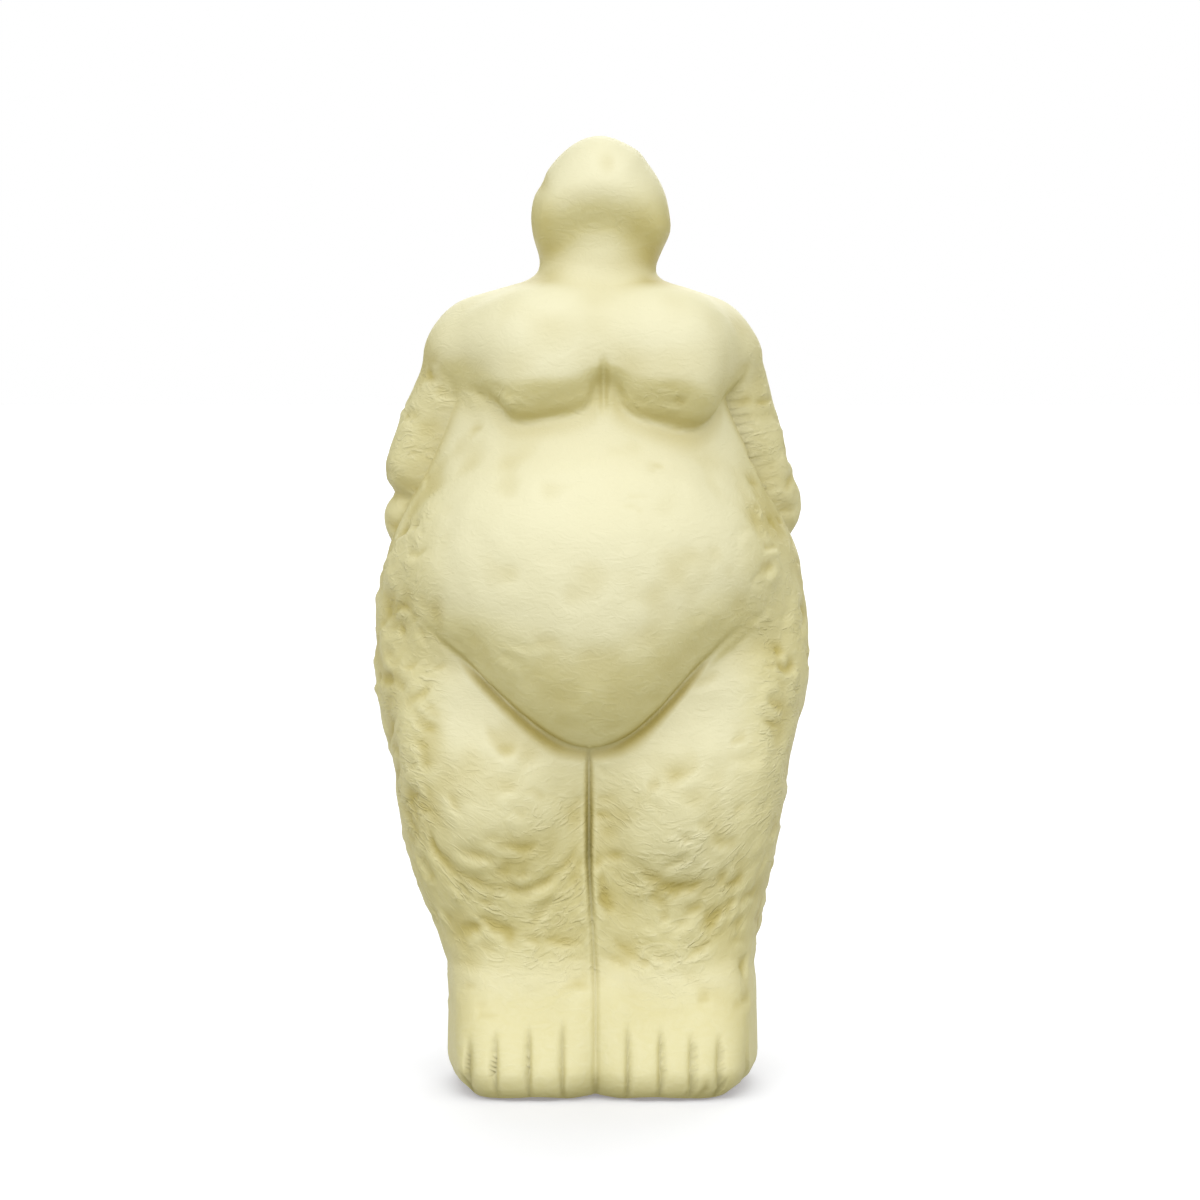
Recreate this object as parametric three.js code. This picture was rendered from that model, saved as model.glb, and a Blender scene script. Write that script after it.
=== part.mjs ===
import * as THREE from "three";

// A standing female figurine cast in one piece: a large soft body, the arms held behind the
// back, the head tipped back and the face left plain. Millimetres. It stands on z = 0 and
// looks along -Y, with its own left-hand side at +X.
//
// The body is worked out like clay. Rounded masses are pressed together, each join is either
// blended or creased, and rays from the upright axis then find the outer surface.

const HEIGHT = 260;
const HALF_COLUMNS = 42;
const ROW_COUNT = 58;

// How far the middle line leans: the feet stand and the head sits a little to +X.
const FEET_SHIFT = 3.0;
const HEAD_SHIFT = 2.3;
const FEET_PARTING = -1.9;
const KNEE_PARTING = -0.7;
const FOLD_REACH = 42;

// Corner radius of the sole, and how deep the folds are pressed in.
const SOLE_ROUNDING = 9.5;
const LEG_GROOVE = { depth: 2.8, width: 1.25 };
const BELLY_FOLD = { depth: 1.8, aboveJoin: 1.0 };
const BREAST_FOLD_DEPTH = 0.5;
const ARM_VALLEY = { depth: 0.5, deeperOnLeft: 0.3 };
const FOLD_WIDTH = 1.5;

// One leg by height: its outer edge from the middle line, its front and its back.
const LEG_STATIONS = [
  { z: 0, outer: 41.2, front: -25.0, back: 29.0 },
  { z: 22, outer: 41.2, front: -24.5, back: 27.0 },
  { z: 34, outer: 41.9, front: -24.5, back: 27.5 },
  { z: 46, outer: 45.4, front: -26.0, back: 30.5 },
  { z: 58, outer: 48.9, front: -27.5, back: 31.5 },
  { z: 70, outer: 51.0, front: -29.5, back: 31.0 },
  { z: 84, outer: 53.8, front: -31.5, back: 32.0 },
  { z: 94, outer: 55.6, front: -31.5, back: 33.5 },
  { z: 104, outer: 56.6, front: -29.5, back: 34.0 },
  { z: 118, outer: 57.0, front: -26.0, back: 34.0 },
];
const LEG_INNER_EDGE = -0.8;
const LEG_SQUARENESS = 2.7;
const LEG_TOP = 120;

// Masses of the body: centre, half sizes, backward lean in degrees and squareness.
// Those with a mirrored twin are given for the +X side only.
const THIGH = { at: [24, -5, 79], size: [25.5, 29.8, 31] };
const CALF = { at: [23, 11, 50], size: [22, 22, 22] };
const BETWEEN_LEGS = { at: [0, 1.5, 66], size: [16, 28.5, 70] };
const BETWEEN_FEET = { at: [0, -3, 0], size: [14, 31, 36], power: 3 };
const PELVIS = { at: [0, 3, 123], size: [60, 37, 64] };
const BUTTOCK = { at: [23, 17, 106], size: [29, 28.5, 29] };
const FOOT = { at: [18, -7.5, 0], size: [23.3, 36.8, 46], power: 3 };
const BELLY = { at: [0, -9, 134], size: [50, 41.5, 46], power: 2.15 };
const RIBS = { at: [0, 4, 170], size: [43.5, 31, 48] };
const CHEST = { at: [0, -2.5, 201], size: [42, 25.5, 19], lean: -14 };
const BREASTS = [
  { at: [-12, -17, 198.5], size: [15, 14.5, 14.5], lean: -35 },
  { at: [20.5, -17, 198.5], size: [15.5, 14.5, 14.5], lean: -35 },
];
const CLEFT = { x: 3.3, reach: 14, depth: 0.9, width: 1.2 };
const SKULL = { at: [0, 1.5, 238], size: [18.2, 20, 23.3], lean: 30, power: 1.95, taper: 0.1 };
const JAW = { at: [0, -8.5, 238.5], size: [14.5, 11.5, 8], lean: 20 };
const UNDER_CHIN = { front: -20, height: 243, forward: 0.84, downward: 0.54 };
const HAND = { at: [11.5, 37, 147], size: [12, 8, 9.5], roll: -10, power: 2.3 };

// Round limbs from one point to another, with a radius at each end.
const SHOULDERS = { from: [4, 3, 212], to: [30.5, 4, 204.3], radii: [11, 12] };
const NECK = { from: [0, 1, 206], to: [0, -0.5, 231], radii: [17, 14] };
const ARMS = [
  { side: -1, shoulder: [35.4, 5, 196], elbow: [48.1, 9, 169], wrapFrom: [48.2, 11, 155], k: 2 },
  { side: 1, shoulder: [36.2, 5, 196], elbow: [47.5, 12, 163], wrapFrom: [47.6, 15, 157], k: 6 },
];
const ARM_RADII = [11.3, 9.2];
const ARM_DEPTH = 1.25;
const FOREARM_MIDDLE = [39, 29, 153];
const WRIST = [20, 36.5, 149];
const FOREARM_RADII = [9.3, 8.8, 7.8];

// The top of the foot slopes down to the toes, which are parted by grooves. Each groove is
// given by its distance from the middle line and by the height where it runs out.
const INSTEP = { front: -42, height: 8, forward: 0.8, upward: 0.6 };
const TOE_GROOVE = { depth: 1.6, width: 1.15, roundness: 1.0, outerEdge: 41.5 };
const TOE_GROOVES = {
  right: [[9.0, 20.8], [18.0, 19.5], [27.0, 18.0], [34.1, 15.4]],
  left: [[8.7, 20.0], [17.5, 19.2], [25.8, 17.5], [33.3, 16.7]],
};

// Rows of rays: row number, height of their starting point, and their climb in degrees.
// Rows lie closer along the toes, the folds and the arms.
const FANS = [
  [0, 7, -90], [3, 7, -20], [6, 7, 0], [11, 22, 0], [14, 33.5, 0], [15, 38, 0], [20, 61, 0],
  [25, 91, 0], [26, 94, 0], [27, 96.5, 0], [28, 99.5, 0], [33, 137, 0], [34, 145, 0],
  [40, 172, 0], [42, 182, 0], [43, 185.5, 0], [44, 188.5, 0], [48, 192, 40], [49, 206, 36],
  [52, 225, 5], [53, 234, 0], [58, 242, 90],
];
// Columns of rays: column number, and degrees round from the front. The first five steps put
// a column in each groove between the toes.
const TURNS = [[0, 0], [4, 11.8], [8, 22.4], [12, 32.2], [16, 41.6], [20, 53], [42, 180]];
// How much further round the columns spread by height, so that they run straight up the legs.
const SPREAD = [[0, 1], [8, 1], [30, 1.6], [60, 1.5], [90, 1.2], [137, 1], [260, 1]];
// How far the rows rise with the fold under the belly and with those under the breasts, by
// degrees round from the front. The belly's is the same on both sides.
const BELLY_FOLD_HEIGHT = 94;
const BELLY_CLIMB = [
  [0, 0], [6, 0], [11, 0.8], [17, 2.3], [22, 4.4], [27, 7], [32, 10.2], [37, 13.8], [42, 17.7],
  [47, 22], [52, 26.5], [58, 29], [80, 30], [150, 0],
];
const BREAST_FOLD_HEIGHT = 185.5;
const BREAST_CLIMB = [
  [-90, 0], [-55, 4.5], [-50, 4], [-45, 2], [-40, 1], [-30, 0.3], [-20, 1.1], [-10, 3.1],
  [-5, 5.2], [0, 9.5], [7, 11], [15, 9.5], [20, 6], [25, 3.6], [30, 1.8], [35, 0.4], [45, -0.8],
  [55, -0.2], [65, 2.5], [90, 0],
];

const RAY_START = 75;
const RAY_STEPS = 60;
const RAY_SHARE = 0.85;
const LONGEST_STEP_BACK = 3;

const COLOUR = 0xe9e4b8;

function smooth(value) {
  const t = Math.min(Math.max(value, 0), 1);
  return t * t * (3 - 2 * t);
}

function ease(value, start, end) {
  return smooth((value - start) / (end - start));
}

function bump(distance, width) {
  return Math.exp(-((distance / width) ** 2));
}

// Straight-line interpolation in a table of rows, by its first column.
function lookUp(table, key, column) {
  const last = table.length - 1;
  if (key <= table[0][0]) {
    return table[0][column];
  }
  if (key >= table[last][0]) {
    return table[last][column];
  }
  const after = table.findIndex((row) => row[0] > key);
  const [low, high] = [table[after - 1], table[after]];
  const share = (key - low[0]) / (high[0] - low[0]);
  return low[column] + share * (high[column] - low[column]);
}

// Distances below are negative inside. A join rounds over a width k where two masses meet.
function join(a, b, k) {
  const near = Math.max(k - Math.abs(a - b), 0) / k;
  return Math.min(a, b) - (near * near * k) / 4;
}

// A join with a groove pressed in along the line where the two surfaces meet, or moved a
// little onto the second mass.
function crease(a, b, k, depth, ontoSecond = 0) {
  return join(a, b, k) + depth * bump(a - b - ontoSecond, FOLD_WIDTH);
}

function common(a, b, k) {
  return -join(-a, -b, k);
}

function commonWithRoundCorner(a, b, radius) {
  const corner = Math.hypot(Math.max(a + radius, 0), Math.max(b + radius, 0));
  return Math.min(Math.max(a, b), -radius) + corner;
}

function turned(first, second, degrees) {
  const angle = THREE.MathUtils.degToRad(degrees);
  const [c, s] = [Math.cos(angle), Math.sin(angle)];
  return [c * first + s * second, c * second - s * first];
}

// Distance to an ellipsoid, or to a squarer one where its power is above 2.
function lump([px, py, pz], { at, size, lean = 0, roll = 0, power = 2, taper = 0 }) {
  let [x, y, z] = [px - at[0], py - at[1], pz - at[2]];
  [y, z] = turned(y, z, lean);
  [x, z] = turned(x, z, roll);
  const narrow = 1 - taper * THREE.MathUtils.clamp(z / size[2], -1, 1.2);
  const q = [x / size[0] / narrow, y / size[1] / narrow, z / size[2]];
  const parts = q.map((value) => Math.abs(value) + 1e-6);
  const reach = parts.reduce((sum, value) => sum + value ** power, 0) ** (1 / power);
  const steep = Math.hypot(...parts.map((value, i) => value ** (power - 1) / size[i]));
  return (reach - 1) / (reach ** (1 - power) * steep);
}

// Distance to a round limb that tapers, deep times as deep as it is wide.
function limb([px, py, pz], from, to, [startRadius, endRadius], deep = 1) {
  const along = new THREE.Vector3(to[0] - from[0], (to[1] - from[1]) / deep, to[2] - from[2]);
  const point = new THREE.Vector3(px - from[0], (py - from[1]) / deep, pz - from[2]);
  const share = THREE.MathUtils.clamp(point.dot(along) / along.lengthSq(), 0, 1);
  const radius = startRadius + share * (endRadius - startRadius);
  return point.addScaledVector(along, -share).length() - radius;
}

function lineShift(z) {
  return FEET_SHIFT * (1 - ease(z, 22, 66)) + HEAD_SHIFT * ease(z, 214, 230);
}

function parting(z) {
  const knee = ease(z, 20, 60);
  return FEET_PARTING * (1 - knee) + KNEE_PARTING * knee * (1 - ease(z, 90, 125));
}

function middleLine(z) {
  return lineShift(z) + parting(z);
}

// Sideways distance from the middle line. The bend dies out towards the outline.
function fromMiddle(x, z) {
  const lean = x - lineShift(z);
  return lean - parting(z) * Math.max(0, 1 - (lean / FOLD_REACH) ** 2);
}

const LEG_TABLE = LEG_STATIONS.map((row) => [row.z, row.outer, row.front, row.back]);

function legColumn(a, y, z) {
  const outer = lookUp(LEG_TABLE, z, 1);
  const front = lookUp(LEG_TABLE, z, 2);
  const back = lookUp(LEG_TABLE, z, 3);
  const halfWidth = (outer - LEG_INNER_EDGE) / 2;
  const halfDepth = (back - front) / 2;
  const across = a - (outer + LEG_INNER_EDGE) / 2;
  const ahead = y - (front + back) / 2;
  const power = LEG_SQUARENESS;
  const sum = Math.abs(across / halfWidth) ** power + Math.abs(ahead / halfDepth) ** power;
  const reach = Math.max(sum ** (1 / power), 0.3);
  const distance = Math.max(Math.hypot(across, ahead) * (1 - 1 / reach), -12);
  return common(distance, z - LEG_TOP, 10);
}

// How deep the toe grooves cut, with the roundness of the toes between them.
function toeRelief(x, y, z) {
  const across = x - middleLine(z);
  const grooves = across > 0 ? TOE_GROOVES.left : TOE_GROOVES.right;
  const a = Math.abs(across);
  const edges = [0, ...grooves.map((groove) => groove[0]), TOE_GROOVE.outerEdge];
  let depth = 0;
  for (const [place, top] of grooves) {
    const cut = TOE_GROOVE.depth * bump(a - place, TOE_GROOVE.width);
    depth = Math.max(depth, cut * (1 - ease(z, top - 5, top + 2)));
  }
  for (let i = 0; i + 1 < edges.length; i += 1) {
    if (a >= edges[i] && a < edges[i + 1]) {
      const share = (2 * a - edges[i] - edges[i + 1]) / (edges[i + 1] - edges[i]);
      depth += TOE_GROOVE.roundness * share * share * (1 - ease(z, 8, 20));
    }
  }
  return depth * ease(-y, 12, 24) * ease(z, 0.3, 2.5);
}

function foot(mirrored, x, y, z) {
  const block = lump(mirrored, FOOT);
  const slope = (INSTEP.front - y) * INSTEP.forward + (z - INSTEP.height) * INSTEP.upward;
  return common(block, slope, 9) + toeRelief(x, y, z);
}

// Legs, hips and feet.
function lowerBody(mirrored, x, y, z) {
  const a = mirrored[0];
  let body = legColumn(a, y, z);
  body = join(body, lump(mirrored, THIGH), 8);
  body = join(body, lump(mirrored, CALF), 5);
  body = join(body, lump(mirrored, BETWEEN_LEGS), 6);
  body = join(body, lump(mirrored, BETWEEN_FEET), 3);
  body = join(body, lump(mirrored, PELVIS), 6);
  body = join(body, lump(mirrored, BUTTOCK), 5);
  body = join(body, foot(mirrored, x, y, z), 7);
  return body + LEG_GROOVE.depth * bump(a, LEG_GROOVE.width) * (1 - ease(z, 91, 97));
}

// The belly hangs over the thighs in a crisp fold, which climbs a little faster on the +X side,
// and runs smoothly into the hips. Across is the distance from the middle line, with its sign.
function withBelly(body, across, y, z) {
  const towardsKnees = 1 - 0.42 * (1 - ease(z, 86, 146));
  const onLeftSide = 1 - 0.1 * ease(across, 0, 30) * (1 - ease(z, 120, 150));
  const belly = lump([across / (towardsKnees * onLeftSide), y, z], BELLY);
  const low = 1 - Math.max(ease(z, 112, 132), smooth((Math.abs(across) - 32) / 16));
  return crease(body, belly, 15 - 13.4 * low, BELLY_FOLD.depth * low, BELLY_FOLD.aboveJoin);
}

function withBreasts(body, x, y, z) {
  const cleft = 1 - smooth(Math.abs(x - CLEFT.x) / CLEFT.reach);
  const low = 1 - ease(z - 4 * cleft, 186, 196);
  let result = body;
  for (const breast of BREASTS) {
    result = crease(result, lump([x, y, z], breast), 12 - 10 * low, BREAST_FOLD_DEPTH * low);
  }
  const between = ease(z, 195, 198) * (1 - ease(z, 201, 207)) * ease(-y, 10, 20);
  return result + CLEFT.depth * bump(x - CLEFT.x, CLEFT.width) * between;
}

function withTrunk(body, mirrored, x, y, z) {
  let result = join(body, lump(mirrored, RIBS), 9);
  result = join(result, lump(mirrored, CHEST), 7);
  result = join(result, limb(mirrored, SHOULDERS.from, SHOULDERS.to, SHOULDERS.radii), 6);
  return withBreasts(result, x, y, z);
}

// The head is an egg tipped back, cut off by a slanting plane under the chin.
function withHead(body, mirrored, y, z) {
  const onNeck = join(body, limb(mirrored, NECK.from, NECK.to, NECK.radii), 6);
  const head = join(lump(mirrored, SKULL), lump(mirrored, JAW), 12);
  const ahead = (UNDER_CHIN.front - y) * UNDER_CHIN.forward;
  const below = (UNDER_CHIN.height - z) * UNDER_CHIN.downward;
  return join(onNeck, common(head, ahead + below, 5), 3);
}

// The upper arms lie along the trunk, and the forearms wrap round to the small of the back.
function withArms(body, x, y, z) {
  const blend = 2.5 + 6 * Math.max(ease(z, 186, 204), 0.9 * ease(y, 8, 24));
  let result = body;
  for (const arm of ARMS) {
    const point = [x * arm.side, y, z];
    const upper = limb(point, arm.shoulder, arm.elbow, ARM_RADII, ARM_DEPTH);
    const wrap = limb(point, arm.wrapFrom, FOREARM_MIDDLE, FOREARM_RADII.slice(0, 2));
    const wrist = limb(point, FOREARM_MIDDLE, WRIST, FOREARM_RADII.slice(1));
    const lower = join(join(wrap, wrist, 3), lump(point, HAND), 4);
    const sideDepth = ARM_VALLEY.depth + ARM_VALLEY.deeperOnLeft * arm.side;
    const valley = sideDepth * (1 - ease(z, 180, 196)) * (1 - ease(y, 0, 16));
    result = crease(result, join(upper, lower, arm.k), blend, valley);
  }
  const hands = ease(y, 26, 34) * ease(z, 132, 142) * (1 - ease(z, 152, 160));
  return result + 2 * bump(x + 0.3, 1.5) * hands;
}

// Signed distance to the whole figure, roughly in millimetres.
function figure(x, y, z) {
  const across = fromMiddle(x, z);
  const mirrored = [Math.abs(across), y, z];
  let body = lowerBody(mirrored, x, y, z);
  body = withBelly(body, across, y, z);
  body = withTrunk(body, mirrored, x, y, z);
  body = withHead(body, mirrored, y, z);
  body = withArms(body, x, y, z);
  return commonWithRoundCorner(body, -z, SOLE_ROUNDING);
}

// Turn of a column in radians. Columns past the half turn mirror the others.
function columnTurn(column, height) {
  const share = Math.min(column, 2 * HALF_COLUMNS - column);
  const turn = THREE.MathUtils.degToRad(lookUp(TURNS, share, 1));
  const spread = Math.cos(turn) > 0 ? lookUp(SPREAD, height, 1) : 1;
  const wide = Math.atan2(Math.sin(turn) * spread, Math.cos(turn));
  return column > HALF_COLUMNS ? -wide : wide;
}

// The rows climb round the body as the folds under the belly and the breasts do.
function rowClimb(turn, height) {
  const degrees = THREE.MathUtils.radToDeg(turn);
  const atBelly = ease(height, 30, BELLY_FOLD_HEIGHT) * (1 - ease(height, BELLY_FOLD_HEIGHT, 160));
  const above = 1 - ease(height, BREAST_FOLD_HEIGHT, 206);
  const atBreasts = ease(height, 164, BREAST_FOLD_HEIGHT) * above;
  const belly = lookUp(BELLY_CLIMB, Math.abs(degrees), 1);
  return atBelly * belly + atBreasts * lookUp(BREAST_CLIMB, degrees, 1);
}

// The outermost point of the figure along one ray from the upright axis.
function surfacePoint(row, column) {
  const height = lookUp(FANS, row, 1);
  const lift = THREE.MathUtils.degToRad(lookUp(FANS, row, 2));
  const turn = columnTurn(column, height);
  const level = Math.cos(lift);
  const way = new THREE.Vector3(level * Math.sin(turn), -level * Math.cos(turn), Math.sin(lift));
  const start = new THREE.Vector3(middleLine(height), 0, height + rowClimb(turn, height));
  const point = new THREE.Vector3();
  let reach = RAY_START;
  for (let step = 0; step < RAY_STEPS; step += 1) {
    point.copy(start).addScaledVector(way, reach);
    reach -= RAY_SHARE * Math.max(figure(point.x, point.y, point.z), -LONGEST_STEP_BACK);
  }
  if (Math.abs(point.z) < 0.02) {
    point.z = 0;
  }
  return point;
}

function ringPoints(row) {
  const points = [];
  for (let column = 0; column < 2 * HALF_COLUMNS; column += 1) {
    points.push(surfacePoint(row, column));
  }
  return points;
}

// Rings of points closed by one point under the sole and one at the crown.
function figureGeometry() {
  const rings = [];
  for (let row = 1; row < ROW_COUNT; row += 1) {
    rings.push(ringPoints(row));
  }
  const columns = 2 * HALF_COLUMNS;
  const lastRing = rings.length - 1;
  const points = [...rings.flat(), surfacePoint(0, 0), surfacePoint(ROW_COUNT, 0)];
  const [sole, crown] = [points.length - 2, points.length - 1];
  const faces = [];
  for (let column = 0; column < columns; column += 1) {
    const next = (column + 1) % columns;
    faces.push(sole, next, column);
    for (let ring = 0; ring < lastRing; ring += 1) {
      const [here, above] = [ring * columns, (ring + 1) * columns];
      faces.push(here + column, here + next, above + next);
      faces.push(here + column, above + next, above + column);
    }
    faces.push(crown, lastRing * columns + column, lastRing * columns + next);
  }
  const geometry = new THREE.BufferGeometry().setFromPoints(points);
  geometry.setIndex(faces);
  return geometry;
}

// Sets the geometry to its full height, standing on z = 0 over the middle of its box.
function placedOnFloor(geometry) {
  geometry.computeBoundingBox();
  const scale = HEIGHT / geometry.boundingBox.max.z;
  geometry.scale(scale, scale, scale);
  geometry.computeBoundingBox();
  const centre = geometry.boundingBox.getCenter(new THREE.Vector3());
  geometry.translate(-centre.x, -centre.y, 0);
  geometry.computeVertexNormals();
  return geometry;
}

function castMaterial() {
  return new THREE.MeshStandardMaterial({ color: COLOUR, roughness: 0.6, metalness: 0 });
}

const figurine = new THREE.Mesh(placedOnFloor(figureGeometry()), castMaterial());
figurine.name = "figurine";

const part = new THREE.Group();
part.add(figurine);

export default part;
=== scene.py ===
"""A cast figurine of a standing woman, with a studio stage. The form is worked out in mm."""

import bpy
import numpy as np
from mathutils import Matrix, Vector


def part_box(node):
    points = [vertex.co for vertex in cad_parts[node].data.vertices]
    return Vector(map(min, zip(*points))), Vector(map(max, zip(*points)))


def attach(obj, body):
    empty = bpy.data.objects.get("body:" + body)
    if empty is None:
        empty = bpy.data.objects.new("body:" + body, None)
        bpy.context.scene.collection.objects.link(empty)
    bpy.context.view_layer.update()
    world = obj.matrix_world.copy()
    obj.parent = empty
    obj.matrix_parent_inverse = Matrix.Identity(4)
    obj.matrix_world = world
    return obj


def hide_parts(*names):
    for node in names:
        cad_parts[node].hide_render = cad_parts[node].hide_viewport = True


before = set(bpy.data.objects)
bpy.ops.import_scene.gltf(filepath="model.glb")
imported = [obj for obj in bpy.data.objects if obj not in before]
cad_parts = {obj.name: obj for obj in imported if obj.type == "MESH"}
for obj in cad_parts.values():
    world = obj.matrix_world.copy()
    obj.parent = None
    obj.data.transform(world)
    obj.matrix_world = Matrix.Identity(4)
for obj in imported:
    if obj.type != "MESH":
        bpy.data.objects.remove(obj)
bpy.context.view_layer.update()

bl_info = {
    "name": "Cast Figurine",
    "version": (1, 0, 0),
    "blender": (4, 5, 0),
    "location": "3D View > Sidebar > Figurine",
    "description": "Makes a cast figurine of a standing woman, and a plain stage for it",
    "category": "Add Mesh",
}

SOLID = "figurine"
# Lights: name, the setting of its strength, turn from the front, rise, and softness in degrees
LIGHTS = (
    ("front_light", "front_light", -2, 31, 60),
    ("left_light", "side_light", -72, 25, 60),
    ("right_light", "side_light", 72, 25, 60),
    ("top_light", "top_light", 0, 80, 60),
    ("back_light", "back_light", 176, 24, 50),
)


# Small functions of shape

def smooth(share):
    """0 to 1 with level ends: three times the square less twice the cube."""
    share = np.clip(share, 0, 1)
    return share * share * (3 - 2 * share)


def ease(value, start, end):
    """Smooth rise from 0 where the value is start to 1 where it is end."""
    return smooth((value - start) / (end - start))


def fall(value, start, end):
    """Smooth fall from 1 where the value is start to 0 where it is end."""
    return 1 - ease(value, start, end)


def stretch(value, start, full, fading, end):
    """1 over a stretch of values, with a smooth rise before it and a smooth fall after it."""
    return ease(value, start, full) * fall(value, fading, end)


def bump(offset, width):
    """Bell curve: e to the power of minus the square of offset over width."""
    return np.exp(-(offset / width) ** 2)


def join(first, second, blend):
    """The nearer of two clay surfaces, with a fillet where they differ by less than blend."""
    overlap = np.maximum(blend - np.abs(first - second), 0) / blend
    return np.minimum(first, second) - overlap * overlap * blend / 4


def crease(first, second, blend, depth, width=1.5):
    """Two surfaces joined, with a bell-shaped groove where both are equally near."""
    return join(first, second, blend) + depth * bump(first - second, width)


def common(first, second, blend):
    """What lies in both of two masses, with its edge softened over blend."""
    return -join(-first, -second, blend)


def common_round(first, second, radius):
    """What lies in both of two masses, with its edge rounded to a quarter circle."""
    u = np.maximum(first + radius, 0)
    v = np.maximum(second + radius, 0)
    return np.minimum(np.maximum(first, second), -radius) + np.sqrt(u * u + v * v)


def turned(u, v, degrees):
    """Two coordinates seen from a frame that is turned by an angle."""
    cosine, sine = np.cos(np.radians(degrees)), np.sin(np.radians(degrees))
    return cosine * u + sine * v, cosine * v - sine * u


def lump(point, centre, size, pitch=0.0, roll=0.0, power=2.0, taper=0.0):
    """Distance to an egg-like mass with three half sizes.

    The powers of the three scaled coordinates add up to one on its surface. That value less one,
    over its slope, is the distance. A taper narrows it towards its top.
    """
    x, y, z = (p - c for p, c in zip(point, centre))
    y, z = turned(y, z, pitch)
    x, z = turned(x, z, roll)
    u, v, w = x / size[0], y / size[1], z / size[2]
    narrow = 1 - taper * np.clip(w, -1, 1.2)
    u, v, w = (np.abs(part) + 1e-6 for part in (u / narrow, v / narrow, w))
    level = (u ** power + v ** power + w ** power) ** (1 / power)
    steep = [(part ** (power - 1) / half) ** 2 for part, half in zip((u, v, w), size)]
    return (level - 1) / (level ** (1 - power) * np.sqrt(sum(steep)))


def limb(point, start, end, start_radius, end_radius, deep=1.0):
    """Distance to a round bar between two points, whose radius changes evenly along it."""
    along = np.array(end, float) - np.array(start, float)
    x, y, z = (p - s for p, s in zip(point, start))
    along[1] /= deep
    y = y / deep
    share = np.clip((x * along[0] + y * along[1] + z * along[2]) / (along @ along), 0, 1)
    away = (x - share * along[0]) ** 2 + (y - share * along[1]) ** 2 + (z - share * along[2]) ** 2
    return np.sqrt(away) - (start_radius + share * (end_radius - start_radius))


def slant(y, z, cut):
    """Distance before a flat cut that runs level from side to side."""
    (place_y, place_z), (face_y, face_z) = cut
    return face_y * (y - place_y) + face_z * (z - place_z)


# The form. The figure faces -Y and stands on z = 0. A mass is given by its centre and half sizes,
# a bar by its two ends and its radii there.

# One leg's outline: height, outer edge, front, back
LEG = np.array([
    (0, 41.2, -25.0, 29.0),
    (22, 41.2, -24.5, 27.0),
    (34, 41.9, -24.5, 27.5),
    (46, 45.4, -26.0, 30.5),
    (58, 48.9, -27.5, 31.5),
    (70, 51.0, -29.5, 31.0),
    (84, 53.8, -31.5, 32.0),
    (94, 55.6, -31.5, 33.5),
    (104, 56.6, -29.5, 34.0),
    (118, 57.0, -26.0, 34.0),
])
LEG_INNER, LEG_POWER = -0.8, 2.7
LEG_TOP, LEG_TOP_EDGE = 120, 10
# How deep inside a leg distances are told, and how near its middle they stop
LEG_DEPTH, LEG_CORE = 12.0, 0.3
# What is joined to the legs: centre, half sizes, power, and the fillet
LOWER_MASSES = {
    "thigh": ((24, -5, 79), (25.5, 29.8, 31), 2.0, 8),
    "calf": ((23, 11, 50), (22, 22, 22), 2.0, 5),
    "between the legs": ((0, 1.5, 66), (16, 28.5, 70), 2.0, 6),
    "between the feet": ((0, -3, 0), (14, 31, 36), 3.0, 3),
    "hips": ((0, 3, 123), (60.0, 37, 64), 2.0, 6),
    "buttock": ((23, 17, 106), (29, 28.5, 29), 2.0, 5),
}
FOOT = ((18, -7.5, 0), (23.3, 36.8, 46))
FOOT_EDGE = 41.5
# Places of the grooves between the toes, out from the middle line, and how high each groove runs
TOE_GAPS = {-1: (9.0, 18.0, 27.0, 34.1), 1: (8.7, 17.5, 25.8, 33.3)}
TOE_TOPS = {-1: (20.8, 19.5, 18.0, 15.4), 1: (20.0, 19.2, 17.5, 16.7)}
TOE_GROOVE_DEPTH, TOE_GROOVE_WIDTH = 1.2, 0.8
LEG_GROOVE_WIDTH = 0.7
SEAT_GROOVE_DEPTH, SEAT_GROOVE_WIDTH = 2.6, 1.7
BELLY = ((0.0, -9, 134), (50, 41.5, 46))
WAIST = ((0, 4, 170), (43.5, 31, 48))
CHEST = ((0, -2.5, 201), (42, 25.5, 19))
SHOULDER = ((4, 3, 212), (30.5, 4, 204.3), 11, 12)
# Both breasts: place in x and half width, then place in y and z, half depth and half height
BREASTS = ((-12.0, 15.0), (20.5, 15.5))
BREAST_PLACE, BREAST_SIZE = (-15.5, 197.5), (14.8, 18.5)
CLEAVAGE = 3.3
NECK = ((0, 1, 206), (0, -0.5, 231), 17.0, 14.0)
SKULL = ((0, 1.5, 238), (18.2, 20.0, 23.3))
JAW = ((0, -8.5, 238.5), (14.5, 11.5, 8))
# Flat cuts: a place on each in y and z, and the way it faces
INSTEP = ((-42.0, 8), (-0.80, 0.60))
UNDER_BREASTS = ((-24.6, 182.6), (-0.80, -0.60))
UNDER_CHIN = ((-20, 243), (-0.84, -0.54))
# Each arm: side, shoulder, elbow, top of the forearm, softness of the elbow's inner fold
ARMS = (
    (-1, (35.4, 5, 196), (48.1, 9, 169), (48.2, 11, 155), 2.0),
    (1, (36.2, 5, 196), (47.5, 12, 163), (47.6, 15, 157), 6.0),
)
UPPER_ARM_RADII, FOREARM_RADII, WRIST_RADII = (11.3, 9.2), (9.3, 8.8), (8.8, 7.8)
FOREARM_END, WRIST = (39, 29, 153), (20, 36.5, 149)
HAND = ((11.5, 37.0, 147), (12.0, 8.0, 9.5))
FINGER_GAPS = (143.4, 147.2, 151.0)
HANDS_MIDDLE = -0.3
SOLE_EDGE = 9.5


def line_shift(z):
    """How far the figure leans in x: the feet and the head stand a little to one side."""
    return 3.0 * fall(z, 22, 66) + 2.3 * ease(z, 214, 230)


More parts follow.
